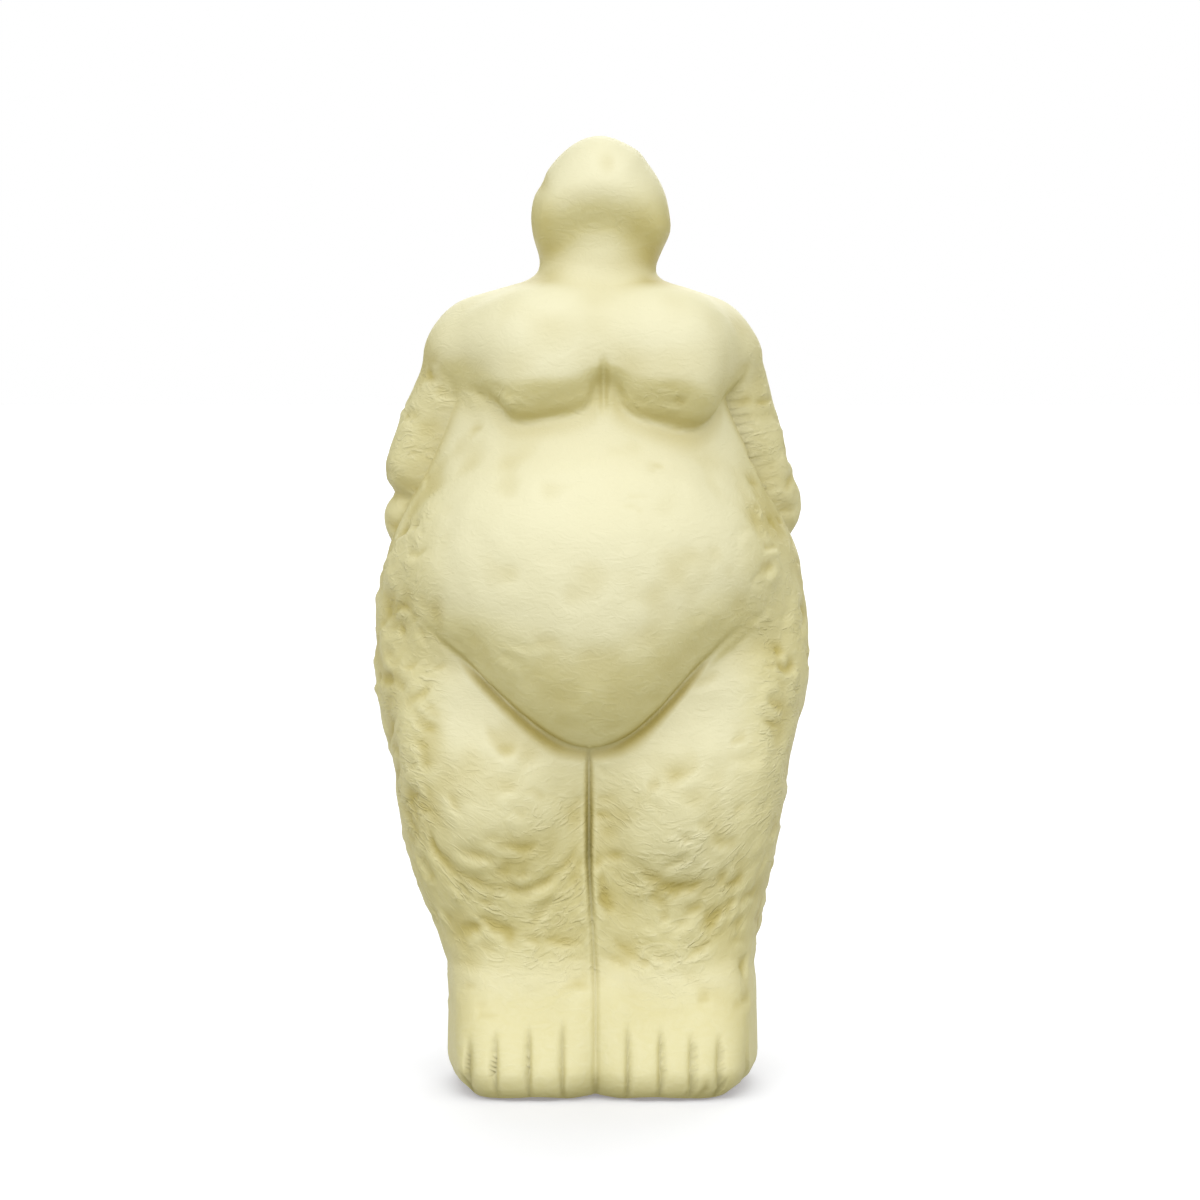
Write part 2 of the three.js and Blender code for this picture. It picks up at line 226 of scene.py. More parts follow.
def parting(z):
    """How far the groove between the legs stands off the leaning middle line."""
    return -1.9 * fall(z, 20, 60) - 0.7 * stretch(z, 20, 60, 90, 125)


def middle_line(z):
    """Where the groove between the legs, and the body above it, have their middle."""
    return line_shift(z) + parting(z)


def from_middle(x, z):
    """Distance in x from the middle line, bent so that the outer edges stay in place."""
    lean = x - line_shift(z)
    return lean - parting(z) * np.maximum(0, 1 - (lean / 42.0) ** 2)


def leg_column(a, y, z):
    """Distance to one leg: at each height a rounded square whose sides follow the LEG table."""
    outer, front, back = (np.interp(z, LEG[:, 0], LEG[:, column]) for column in (1, 2, 3))
    centre_x, half_x = (outer + LEG_INNER) / 2, (outer - LEG_INNER) / 2
    centre_y, half_y = (front + back) / 2, (back - front) / 2
    u, v = np.abs(a - centre_x) / half_x, np.abs(y - centre_y) / half_y
    level = (u ** LEG_POWER + v ** LEG_POWER + 1e-12) ** (1 / LEG_POWER)
    away = np.sqrt((a - centre_x) ** 2 + (y - centre_y) ** 2)
    distance = np.where(level > LEG_CORE, away * (1 - 1 / np.maximum(level, LEG_CORE)), -LEG_DEPTH)
    return common(np.maximum(distance, -LEG_DEPTH), z - LEG_TOP, LEG_TOP_EDGE)


def toe_relief(x, y, z):
    """Depth of the toes' modelling: bell-shaped grooves, and toes that fall off as a square."""
    from_line = x - middle_line(z)
    a = np.abs(from_line)
    relief = np.zeros_like(a)
    for side, gaps in TOE_GAPS.items():
        depth = np.zeros_like(a)
        for gap, top in zip(gaps, TOE_TOPS[side]):
            groove = TOE_GROOVE_DEPTH * bump(a - gap, TOE_GROOVE_WIDTH) * fall(z, top - 5, top + 2)
            depth = np.maximum(depth, groove)
        edges = (0.0, *gaps, FOOT_EDGE)
        for inner, outer in zip(edges[:-1], edges[1:]):
            across = (a - (inner + outer) / 2) / ((outer - inner) / 2)
            depth += np.where((a >= inner) & (a < outer), across ** 2, 0) * fall(z, 8, 20)
        relief = np.where(from_line * side > 0, depth, relief)
    return relief * ease(-y, 12, 24) * ease(z, 0.3, 2.5)


def foot(x, y, z, a):
    """Distance to one foot: a block with a slanting instep, less the toes' relief."""
    block = lump((a, y, z), *FOOT, power=3.0)
    return common(block, slant(y, z, INSTEP), 9) + toe_relief(x, y, z)


def lower_body(x, y, z, a):
    """Legs with thighs, calves and the groove between them, hips, buttocks and feet."""
    body = leg_column(a, y, z)
    for centre, size, power, fillet in LOWER_MASSES.values():
        body = join(body, lump((a, y, z), centre, size, power=power), fillet)
    body = join(body, foot(x, y, z, a), 7)
    seat = SEAT_GROOVE_DEPTH * bump(a, SEAT_GROOVE_WIDTH) * ease(y, 24, 34)
    seat *= stretch(z, 86, 96, 120, 132)
    legs = (0.9 + 1.7 * bump(z - 67, 20)) * bump(a, LEG_GROOVE_WIDTH) * fall(z, 91, 97)
    return body + np.maximum(legs, seat)


def with_belly(body, y, z, m):
    """Adds the hanging belly, with a deep crease under it that fades out at the sides."""
    narrow = (1 - 0.42 * fall(z, 86, 146)) * (1 - 0.10 * ease(m, 0, 30) * fall(z, 120, 150))
    belly = lump((m / narrow, y, z), *BELLY, power=2.15)
    under = 1 - np.maximum(ease(z, 112, 132), smooth((np.abs(m) - 32) / 16))
    return join(body, belly, 15 - 13.4 * under) + 2.3 * under * bump(body - belly - 1.0, 1.6)


def with_breasts(body, x, y, z):
    """Adds two low, wide breasts, with a crease under each and a groove between them."""
    near_cleavage = 1 - smooth(np.abs(x - CLEAVAGE) / 14)
    under = fall(z - 4 * near_cleavage, 186, 195)
    underside = slant(y, z, UNDER_BREASTS)
    for centre, half_width in BREASTS:
        place, size = (centre, *BREAST_PLACE), (half_width, *BREAST_SIZE)
        breast = lump((x, y, z), place, size, pitch=-24, power=2.4)
        body = crease(body, common(breast, underside, 3), 12 - 10 * under, 0.5 * under)
    between = stretch(z, 185, 188, 196, 202) * ease(-y, 10, 20)
    return body + 0.9 * bump(x - CLEAVAGE, 1.2) * between


def with_neck_and_head(body, point):
    """Adds the neck and the blank, egg-shaped head, which is tilted back."""
    body = join(body, limb(point, *NECK), 6)
    skull = lump(point, *SKULL, pitch=30, taper=0.10, power=1.95)
    head = join(skull, lump(point, *JAW, pitch=20), 12)
    return join(body, common(head, slant(point[1], point[2], UNDER_CHIN), 5), 3)


def with_arms(body, x, y, z):
    """Adds both arms. Each forearm turns back, and the hands rest side by side on the back."""
    for side, shoulder, elbow, forearm, fold in ARMS:
        point = (x * side, y, z)
        upper = limb(point, shoulder, elbow, *UPPER_ARM_RADII, deep=1.25)
        lower = limb(point, forearm, FOREARM_END, *FOREARM_RADII)
        lower = join(lower, limb(point, FOREARM_END, WRIST, *WRIST_RADII), 3)
        hand = lump(point, *HAND, roll=-10, power=2.3)
        arm = join(upper, join(lower, hand, 4), fold)
        blend = 2.5 + 6 * np.maximum(ease(z, 186, 204), 0.9 * ease(y, 8, 24))
        valley = (1.2 + 0.5 * side) * fall(z, 186, 200) * fall(y, 0, 16)
        body = crease(body, arm, blend, valley)
    between = ease(y, 26, 34) * stretch(z, 132, 142, 152, 160)
    fingers = np.maximum.reduce([bump(z - place, 0.9) for place in FINGER_GAPS])
    fingers *= ease(y, 30, 38) * stretch(np.abs(x), 1.5, 4, 12, 18)
    spine = bump(x, 3.5) * ease(y, 18, 26) * stretch(z, 158, 172, 200, 212)
    return body + 2.0 * bump(x - HANDS_MIDDLE, 1.5) * between + 0.8 * fingers + 1.0 * spine


def painted_groove_shade(x, y, z):
    """Painted shade in the carved grooves between the legs and between the toes, and in the pit on
    one toe, from 0 to 1.
    """
    a = np.abs(from_middle(x, z))
    darkest = 0.12 + 0.14 * ease(z, 38, 54) + 0.5 * bump(z - 67, 12)
    shade = bump(a, LEG_GROOVE_WIDTH) * fall(z, 90, 97) * darkest
    shade = np.maximum(shade, bump(x - PIT[0], 1) * bump(z - PIT[1], 1) * ease(-y, 5, 15))
    from_line = x - middle_line(z)
    for side, gaps in TOE_GAPS.items():
        for gap, top in zip(gaps, TOE_TOPS[side]):
            fade = fall(z, top - 5, top + 2) * ease(z, 1, 4)
            shade = np.maximum(shade, 0.38 * bump(from_line * side - gap, 0.5) * fade)
    return shade * ease(-y, 0, 10)


def figure(x, y, z):
    """Distance to the whole figure: all its masses joined, and cut off level at the soles."""
    m = from_middle(x, z)
    a = np.abs(m)
    point = (a, y, z)
    body = with_belly(lower_body(x, y, z, a), y, z, m)
    body = join(body, lump(point, *WAIST), 9)
    body = join(body, lump(point, *CHEST, pitch=-14), 7)
    body = join(body, limb(point, *SHOULDER), 6)
    body = with_breasts(body, x, y, z)
    body = with_arms(with_neck_and_head(body, point), x, y, z)
    return common_round(body, -z, SOLE_EDGE)


# The grid that covers the form

# Rows: share of all rows, height where the row's rays start, and how far they rise in degrees
ROW_TABLE = np.array([
    (0, 7, -90), (7, 7, -20), (12, 7, 0), (27, 24, 0), (78, 80, 0), (87, 90, 0), (102, 99.5, 0),
    (131, 134, 0), (146, 150, 0), (173, 183, 0), (181, 189, 0), (204, 192, 40), (209, 206, 36),
    (220, 225, 5), (226, 234, 0), (249, 242, 90),
], float)
# Columns: share of the half turn, and degrees round from the front
TURN_TABLE = np.array([(0, 0), (4, 11.8), (8, 22.4), (12, 32.2), (16, 41.6), (20, 53), (50, 180)])
# How much further round the columns run on the narrow legs, by height
SPREAD_TABLE = np.array([(0, 1), (8, 1), (30, 1.6), (60, 1.5), (90, 1.2), (137, 1), (260, 1)])
# How far the rows climb with the folds, by degrees round from the front
BELLY_CLIMB = np.array([
    (0, 0), (6, 0), (11, 0.8), (17, 2.3), (22, 4.4), (27, 7), (32, 10.2), (37, 13.8), (42, 17.7),
    (47, 22), (52, 26), (58, 28), (65, 26), (80, 18), (110, 6), (150, 0),
])
BREAST_CLIMB = np.array([
    (-90, 0), (-55, 4.5), (-50, 4), (-45, 2), (-40, 1), (-30, 0.3), (-20, 1.1), (-10, 3.1),
    (-5, 5.2), (0, 9.5), (7, 11), (15, 9.5), (20, 6), (25, 3.6), (30, 1.8), (35, 0.4), (45, -0.8),
    (55, -0.2), (65, 2.5), (90, 0),
])
BELLY_FOLD_HEIGHT, BREAST_FOLD_HEIGHT = 94, 185.5
# How roughly the clay was worked by height: on the front, then on the sides and the back
MARKS_TABLE = np.array([
    (0, 0, 0.1), (20, 0.02, 0.4), (30, 0.45, 0.8), (40, 0.85, 0.9), (60, 1.0, 1.0),
    (74, 0.6, 0.85), (92, 0.3, 0.75), (100, 0.12, 0.8), (130, 0.08, 0.8), (150, 0.08, 0.6),
    (175, 0.06, 0.7), (200, 0.02, 0.5), (212, 0, 0.12), (260, 0, 0.06),
])
# Clay lumps: cell of the noise and its seed
BROAD_LUMPS, FINE_LUMPS, EVEN_LUMPS, PATCHES = (11, 1), (4.5, 2), (5.5, 4), (7, 3)
# Dabs: how many, seed, length, width and depth (each with its spread), tilt, bend and reach
DAB_COUNT, DAB_SEED = 800, 7
DAB_LENGTH, DAB_WIDTH, DAB_DEPTH = (3.0, 1.5), (1.35, 0.4), (0.56, 0.26)
DAB_TILT, DAB_BEND, DAB_REACH = np.radians(40), 0.08, 9
LIP_PLACE, LIP_HEIGHT = 1.8, 0.7
# Over the knees the dabs hang down like a U: its middle, half width and sag, and where it is
KNEE_MIDDLE, KNEE_HALF, KNEE_SAG = 19, 24, 14
KNEE_HEIGHT, KNEE_REACH = 60, 30
# Creases across the front: points along each as x and z, and its depth
LONG_FOLDS = (
    (((-48, 71.5), (-38, 61.5), (-28, 57.2), (-20, 56.3), (-12, 58.5), (-6, 64), (-2, 70)), 0.55),
    (((2, 68), (12, 62.5), (22, 57.5), (34, 54)), 0.45),
    (((3, 44), (12, 37), (19, 33.3), (29, 32.2)), 0.4),
    (((-42, 36), (-34, 35.2), (-24, 33.5)), 0.3),
)
FOLD_WIDTH = 1.7
PIT = (30.7, 4.6)
# Round marks on the front: x, z, radius and height (a pit is below 0)
ROUND_MARKS = (
    (4.7, 252.5, 3.0, -0.3), (9.6, 252.0, 2.8, 0.3), (-14.5, 247.5, 2.6, -0.7),
    (12.6, 255.5, 2.8, 0.5), (19.0, 234.5, 3.5, 1.0), (*PIT, 1.1, -1.0),
)
# Rays: how far out they start, how many steps they take, the share of the distance left that one
# step covers, and the longest step back
RAY_START, RAY_STEPS, RAY_CAUTION, RAY_STEP_BACK = 75.0, 46, 0.85, 3
# How often the normals are averaged before the relief is laid along them
NORMAL_ROUNDS = 4
# How the smears of the surface are stretched, in mm: sideways and upright
SMEAR_LENGTH, SMEAR_HEIGHT = 4.5, 2.4


def look_up(value, table, column=1):
    """Value of a table's column, in straight lines between its stations."""
    return np.interp(value, table[:, 0], table[:, column])


def ray_grid(columns, rows):
    """Turn, start height and rise of every ray, from the two tables."""
    share = np.linspace(0, TURN_TABLE[-1, 0], columns // 2 + 1)
    half = np.radians(look_up(share, TURN_TABLE))
    turn = np.concatenate([half, -half[-2:0:-1]])[None]
    row = np.linspace(0, ROW_TABLE[-1, 0], rows + 1)[1:-1, None]
    height = look_up(row, ROW_TABLE, 1)
    rise = np.radians(look_up(row, ROW_TABLE, 2))
    spread = np.where(np.cos(turn) > 0, look_up(height, SPREAD_TABLE), 1)
    return np.arctan2(np.sin(turn) * spread, np.cos(turn)), height, rise


def row_climb(turn, height):
    """How far a row is raised, so that rows run along the folds under belly and breasts."""
    around = np.degrees(turn)
    at_belly = stretch(height, 12, BELLY_FOLD_HEIGHT, BELLY_FOLD_HEIGHT, 160)
    at_breasts = stretch(height, 164, BREAST_FOLD_HEIGHT, BREAST_FOLD_HEIGHT, 206)
    belly_climb = look_up(np.abs(around), BELLY_CLIMB)
    return at_belly * belly_climb + at_breasts * look_up(around, BREAST_CLIMB)


def surface_points(turn, height, rise):
    """Points where rays cast from outside towards the upright middle line meet the figure.

    Each ray moves in by most of the distance still left, again and again, until it rests on the
    clay.
    """
    across = np.cos(rise) * np.sin(turn)
    ahead = -np.cos(rise) * np.cos(turn)
    up = np.sin(rise) + 0 * turn
    start_x = middle_line(height) + 0 * turn
    start_z = height + row_climb(turn, height)
    reach = np.full(across.shape, RAY_START)
    for _ in range(RAY_STEPS):
        distance = figure(start_x + across * reach, ahead * reach, start_z + up * reach)
        reach = reach - RAY_CAUTION * np.maximum(distance, -RAY_STEP_BACK)
    return np.stack([start_x + across * reach, ahead * reach, start_z + up * reach], -1)


def grid_normals(points):
    """Outward unit normals of a closed grid: the cross product of its two directions."""
    around = np.roll(points, -1, 1) - np.roll(points, 1, 1)
    upward = np.gradient(points, axis=0)
    normals = np.cross(around, upward)
    return normals / np.maximum(np.linalg.norm(normals, axis=-1, keepdims=True), 1e-9)


def smoothed(normals, rounds):
    """Normals averaged with their neighbours again and again, and made unit length."""
    for _ in range(rounds):
        around = np.roll(normals, 1, 1) + np.roll(normals, -1, 1)
        padded = np.concatenate([normals[:1], normals, normals[-1:]])
        normals = (2 * normals + around + padded[:-2] + padded[2:]) / 6
    return normals / np.maximum(np.linalg.norm(normals, axis=-1, keepdims=True), 1e-9)


def openness(points, normals, out):
    """How free of neighbouring clay a point is: the distance left a way out, over that way."""
    x, y, z = np.moveaxis(points + normals * out, -1, 0)
    return np.clip(figure(x, y, z) / out, 0, 1)


def hand_marks(x, y, z):
    """How roughly a place was worked, from 0 to 1: by height, on the front and elsewhere."""
    beside = np.maximum(smooth((np.abs(x) - 36) / 12), ease(y, -8, 12))
    front = look_up(z, MARKS_TABLE, 1) + 0.5 * bump(z - 189, 4) + 0.25 * bump(z - 237, 6)
    return front + beside * (look_up(z, MARKS_TABLE, 2) - front)


def painted_under_shade(x, y, z):
    """Painted shade below the jaw and under the breasts, from 0 to 1."""
    jaw = bump(z - 235, 8) * (0.35 + 0.65 * smooth((np.abs(x) - 5) / 8)) * ease(-y, -8, 4)
    breasts = 0.7 * bump(z - 189, 4.5) * bump(x - CLEAVAGE, 30) * ease(-y, 18, 24)
    return np.maximum(jaw, breasts)


def stain_and_painted_shade(points, normals):
    """How much ochre the clay gets, from 0 to 1: real staining and painted shade.

    Where it is rough this is partly real staining and partly painted shade. On the feet, below
    the jaw, under the breasts and where the front faces down it is painted shade.
    """
    x, y, z = np.moveaxis(points, -1, 0)
    # Less ochre over the knee at +x, which stays lighter.
    knee_lighter = 1 - 0.5 * bump(x - 26, 14) * bump(z - 63, 12) * ease(-y, 0, 12)
    # Partly real staining of the rough clay, partly painted shade on the thighs and shins.
    rough = 0.85 * hand_marks(x, y, z) * knee_lighter
    # Painted shade on the feet, darker towards the soles.
    feet = 0.7 * fall(z, 22, 44)
    # Painted shade where the front faces down, from the belly fold up.
    facing_down = smooth(-2.6 * normals[..., 2]) * ease(-y, 4, 10) * ease(z, 90, 104)
    return np.maximum.reduce([rough, feet, painted_under_shade(x, y, z), 0.75 * facing_down])


def stroke_level(x, z):
    """How far a stroke over the knees has risen from the lowest place of its U, in mm."""
    share = (np.abs(x) - KNEE_MIDDLE) / KNEE_HALF
    return KNEE_SAG * share ** 2 * bump(z - KNEE_HEIGHT, KNEE_REACH)


def stroke_slope(x, z):
    """How steeply a stroke over the knees rises along x."""
    slope = 2 * KNEE_SAG * (abs(x) - KNEE_MIDDLE) / KNEE_HALF ** 2 * np.sign(x)
    return slope * bump(z - KNEE_HEIGHT, KNEE_REACH)


def soft_noise(points, cell, seed):
    """Smooth random numbers from -1 to 1: those of a lattice of cells, blended in between."""
    lattice = np.random.default_rng(seed).uniform(-1, 1, (40, 40, 80))
    place = points / cell + (20, 20, 8)
    base = np.floor(place).astype(int)
    share = smooth(place - base)
    total = np.zeros(points.shape[:-1])
    for corner in np.ndindex(2, 2, 2):
        nearness = np.where(np.array(corner, bool), share, 1 - share).prod(-1)
        index = np.moveaxis((base + corner) % lattice.shape, -1, 0)
        total += lattice[tuple(index)] * nearness
    return total


def dabs(points, normals, marks):
    """Heights of short strokes of a finger or a tool, pressed in where the marks are strong.

    Along a stroke u and across it v, the height is the stroke's depth times its fading towards
    both ends, exp(-(u/length)^4), times a lip less the groove above it. The lip is a share of
    exp(-(v/width + place)^2), and the groove is exp(-(v/width)^2). A stroke is bent a little, so
    v has a share of u squared.
    """
    dice = np.random.default_rng(DAB_SEED)
    around = np.roll(points, -1, 1) - np.roll(points, 1, 1)
    area = np.linalg.norm(np.cross(around, np.gradient(points, axis=0)), axis=-1)
    chance = (marks * area * (np.abs(normals[..., 2]) < 0.8)).ravel()
    spots = dice.choice(chance.size, DAB_COUNT, p=chance / chance.sum())
    spread = dice.uniform(-1, 1, (DAB_COUNT, 5))
    flat, outward, marks = points.reshape(-1, 3), normals.reshape(-1, 3), marks.ravel()
    heights = np.zeros(len(flat))
    for spot, (tilt, long, wide, deep, bend) in zip(spots, spread):
        centre, normal = flat[spot], outward[spot]
        level = np.cross((0, 0, 1), normal)
        level /= np.linalg.norm(level)
        angle = np.arctan(stroke_slope(centre[0], centre[2]) * level[0]) + DAB_TILT * tilt
        along = np.cos(angle) * level + np.sin(angle) * np.cross(normal, level)
        across = np.cross(normal, along)
        length = DAB_LENGTH[0] + DAB_LENGTH[1] * long
        width = DAB_WIDTH[0] + DAB_WIDTH[1] * wide
        near = np.flatnonzero(np.abs(flat - centre).max(1) < DAB_REACH)
        offset = flat[near] - centre
        u = offset @ along
        v = (offset @ across + DAB_BEND * bend * u ** 2) / width
        shape = LIP_HEIGHT * np.exp(-(v + LIP_PLACE) ** 2) - np.exp(-v ** 2)
        facing = np.clip(outward[near] @ normal, 0, 1)
        depth = (DAB_DEPTH[0] + DAB_DEPTH[1] * deep) * (0.45 + 0.55 * marks[spot])
        heights[near] += depth * shape * np.exp(-(u / length) ** 4) * facing
    return heights.reshape(points.shape[:2])


def long_folds(x, y, z):
    """Heights of the soft creases that run across the front at the knees and the ankles."""
    heights = np.zeros_like(x)
    for places, depth in LONG_FOLDS:
        line = np.array(places)
        v = (z - np.interp(x, line[:, 0], line[:, 1])) / FOLD_WIDTH
        ends = smooth((x - line[0, 0]) / 5) * smooth((line[-1, 0] - x) / 5)
        heights += depth * ends * (0.5 * np.exp(-(v + 1.7) ** 2) - np.exp(-v ** 2))
    return heights * ease(-y, 2, 12)


def round_marks(x, y, z):
    """Heights of single round dents, pits and bumps on the front: depth times a bell."""
    heights = np.zeros_like(x)
    for place_x, place_z, radius, height in ROUND_MARKS:
        heights += height * bump(np.hypot(x - place_x, z - place_z), radius)
    return heights * ease(-y, -6, 2)


def relief(points, normals):
    """Height of the modelling marks over the plain form, and how rough the finish is there.

    The height is the sum of clay lumps in three sizes, dabs, long folds and round marks. It fades
    out towards the groove between the legs and at the soles.
    """
    x, y, z = np.moveaxis(points, -1, 0)
    marks = hand_marks(x, y, z)
    lumps = (0.32 + 0.45 * marks) * soft_noise(points, *BROAD_LUMPS)
    lumps += 0.4 * marks * soft_noise(points, *FINE_LUMPS)
    lumps += 0.24 * soft_noise(points, *EVEN_LUMPS) * (1 - 0.6 * ease(z, 186, 200))
    lumps *= ease(z, 16, 34) * (1 - 0.55 * ease(z, 205, 218))
    strokes = np.clip(dabs(points, normals, marks), -2, 0.55)
    strokes = 0.9 * np.tanh(strokes / 0.9)
    height = lumps + strokes + long_folds(x, y, z) + round_marks(x, y, z)
    height *= 1 - 0.85 * bump(from_middle(x, z), 2.2) * ease(-y, 0, 10) * fall(z, 90, 97)
    patches = 0.25 + 0.75 * ease(soft_noise(points, *PATCHES), -0.25, 0.45)
    return height * ease(z, 1, 4), marks * patches


def painted_fold_shade(points, normals, height):
    """Painted shade, from 0 to 1: in folds and dents, in wide hollows, below the jaw and under the
    breasts.
    """
    x, y, z = np.moveaxis(points, -1, 0)
    toes = ease(-y, 10, 22) * fall(z, 14, 22)
    # Painted shade in narrow creases and dents, and in the grooves of the strokes.
    narrow = (1 - openness(points, normals, 2.5)) * (1 - 0.7 * toes) + 0.9 * np.clip(-height, 0, 1)
    # Painted shade in wide hollows, such as under the belly, the breasts and the chin.
    wide = 1.1 * (1 - openness(points, normals, 11)) * (1 - toes)
    return np.clip(np.maximum.reduce([narrow, wide, 0.4 * painted_under_shade(x, y, z)]), 0, 1)


def fill_box(points, low, high):
    """Points scaled and moved along each axis, so that they fill a box exactly."""
    start, end = points.min(0), points.max(0)
    return low + (points - start) * ((high - low) / (end - start))


def grid_faces(rows, columns):
    """Quads between the rings, and triangles to a pole at each end, all facing outwards."""
    ring = np.arange(columns)
    after = (ring + 1) % columns
    base = np.arange(rows - 1)[:, None] * columns
    above = base + columns
    quads = np.stack([base + ring, base + after, above + after, above + ring], -1)
    bottom, top, last = rows * columns, rows * columns + 1, (rows - 1) * columns
    sole = np.stack([np.full(columns, bottom), after, ring], -1)
    crown = np.stack([np.full(columns, top), last + ring, last + after], -1)
    return quads.reshape(-1, 4), np.concatenate([sole, crown])


def make_mesh(name, points, quads, triangles):
    """A mesh object at the origin from points, four-sided faces and three-sided faces."""
    mesh = bpy.data.meshes.new(name)
    corners = np.concatenate([quads.ravel(), triangles.ravel()]).astype(np.int32)
    sizes = np.concatenate([np.full(len(quads), 4), np.full(len(triangles), 3)]).astype(np.int32)
    mesh.vertices.add(len(points))
    mesh.vertices.foreach_set("co", points.astype(np.float32).ravel())
    mesh.loops.add(len(corners))
    mesh.loops.foreach_set("vertex_index", corners)
    mesh.polygons.add(len(sizes))
    mesh.polygons.foreach_set("loop_start", (np.cumsum(sizes) - sizes).astype(np.int32))
    mesh.polygons.foreach_set("use_smooth", np.ones(len(sizes), bool))
    mesh.update(calc_edges=True)
    mesh.validate()
    made = bpy.data.objects.new(name, mesh)
    bpy.context.scene.collection.objects.link(made)
    return made


def set_attribute(made, name, values):
    """Keeps a number or a vector for each point of the grid, and the end rings' for the poles."""
    vector = values.ndim == 3
    flat = values.reshape(-1, 3) if vector else values.ravel()
    flat = np.concatenate([flat, [values[0, 0], values[-1, 0]]])
    attribute = made.data.attributes.new(name, "FLOAT_VECTOR" if vector else "FLOAT", "POINT")
    attribute.data.foreach_set("vector" if vector else "value", flat.astype(np.float32).ravel())


# Materials

class Shade:
    """An output socket of a node tree. Arithmetic on it adds Math nodes."""

    def __init__(self, tree, socket):
        self.tree = tree
        self.socket = socket

    def _math(self, operation, first, second):
        return self.tree.add("ShaderNodeMath", {"operation": operation}, {0: first, 1: second})

    def __add__(self, other):
        return self._math("ADD", self, other)

    def __radd__(self, other):
        return self._math("ADD", other, self)

    def __sub__(self, other):
        return self._math("SUBTRACT", self, other)

    def __rsub__(self, other):
        return self._math("SUBTRACT", other, self)

    def __mul__(self, other):
        return self._math("MULTIPLY", self, other)

    def __rmul__(self, other):
        return self._math("MULTIPLY", other, self)


class Tree:
    """A material's node tree, emptied."""

    def __init__(self, owner):
        owner.use_nodes = True
        self.nodes = owner.node_tree.nodes
        self.links = owner.node_tree.links
        self.nodes.clear()

    def add(self, kind, settings=None, sockets=None, output=0):
        """A new node: its settings first, then the values or links of its sockets."""
        node = self.nodes.new(kind)
        for name, value in (settings or {}).items():
            setattr(node, name, value)
        for name, value in (sockets or {}).items():
            if isinstance(value, Shade):
                self.links.new(value.socket, node.inputs[name])
            else:
                node.inputs[name].default_value = value
        return Shade(self, node.outputs[output]) if len(node.outputs) else node

    def mix(self, share, first, second):
        """First colour where the share is 0, second where it is 1."""
        return self.add("ShaderNodeMix", {"data_type": "RGBA"},
                        {"Factor": share, 6: first, 7: second}, output=2)


def stone_material(look):
    """Cast stone: cloudy and pale, with a fine grain. Ochre where the clay is rough, partly real
    staining and partly painted shade; ochre painted shade on the feet, below the jaw, under the
    breasts and where the front faces down; darker painted shade in the folds and dark painted
    shade in the grooves.
    """
    material = bpy.data.materials.new("cast_stone")
    tree = Tree(material)
    place = tree.add("ShaderNodeTexCoord", output="Object")
    clouds = tree.add("ShaderNodeTexNoise", None, {"Vector": place, "Scale": 42.0, "Detail": 4.0})
    folds, grooves, marks, stain = (
        tree.add("ShaderNodeAttribute", {"attribute_name": name}, output="Fac")
        for name in ("folds", "grooves", "marks", "stain"))
    smear = tree.add("ShaderNodeAttribute", {"attribute_name": "smear"}, output="Vector")
    smears = tree.add("ShaderNodeTexNoise", None, {
        "Vector": smear, "Scale": 1.0, "Detail": 2.0, "Roughness": 0.5, "Distortion": 1.5})
    clear = tree.mix(clouds, look.clay_light, look.clay_dark)
    # Ochre: partly real staining of the rough clay, partly painted shade on the feet, under things
    # and where the front faces down.
    worked = tree.mix(stain * (1.4 - 0.8 * smears), clear, look.stain_and_shade_colour)
    # Painted shade in folds, dents and hollows.
    with_fold_shade = tree.mix(folds, worked, look.painted_fold_shade_colour)
    # Painted shade: the dark colour in the grooves and the toe pit.
    colour = tree.mix(grooves, with_fold_shade, look.painted_groove_shade_colour)
    grain = tree.add("ShaderNodeTexNoise", None, {"Vector": place, "Scale": 900.0, "Detail": 3.0})
    lips = tree.add("ShaderNodeMapRange", {"interpolation_type": "SMOOTHSTEP"}, {
        "Value": smears, "From Min": 0.52, "From Max": 0.72})
    height = marks * (0.32 * smears + 0.14 * lips) + 0.14 * smears + 0.06 * grain
    normal = tree.add("ShaderNodeBump", None, {
        "Height": height, "Strength": 1.0, "Distance": 0.0010})
    surface = tree.add("ShaderNodeBsdfPrincipled", None, {
        "Base Color": colour,
        "Roughness": look.roughness + 0.12 * (clouds - 0.5),
        "Normal": normal,
    })
    tree.add("ShaderNodeOutputMaterial", None, {"Surface": surface})
    return material


def floor_material(stage):
    """Plain pale paper with a faint cloudiness, whose own light is weaker near the figure as a
    painted shadow.
    """
    material = bpy.data.materials.new("pale_floor")
    tree = Tree(material)
    place = tree.add("ShaderNodeTexCoord", output="Object")
    clouds = tree.add("ShaderNodeTexNoise", None, {"Vector": place, "Scale": 3.0})
    colour = tree.mix(clouds, stage.floor_colour, [0.98 * part for part in stage.floor_colour])
    # Painted shadow: the floor's own light fades to a dimmer colour towards a spot just in front
    # of the figure.
    beside = tree.add("ShaderNodeMapping", None, {
        "Vector": place, "Location": (0, 0.35, 0), "Scale": (7.5, 7.0, 7.0)})
    near = tree.add("ShaderNodeTexGradient", {"gradient_type": "SPHERICAL"}, {"Vector": beside}, 1)
    surface = tree.add("ShaderNodeBsdfPrincipled", None, {
        "Base Color": colour,
        "Roughness": 0.9,
        "Emission Color": tree.mix(near, stage.glow_colour, stage.painted_shadow_glow_colour),
        "Emission Strength": stage.floor_glow,
    })
    tree.add("ShaderNodeOutputMaterial", None, {"Surface": surface})
    return material


# Settings

class FigurineForm(bpy.types.PropertyGroup):
    """Fineness of the figurine's mesh."""

    columns: bpy.props.IntProperty(
        name="Columns", description="Points in each ring round the figure", default=400, min=100)
    rows: bpy.props.IntProperty(
        name="Rows", description="Rings from the soles to the crown", default=249, min=60)


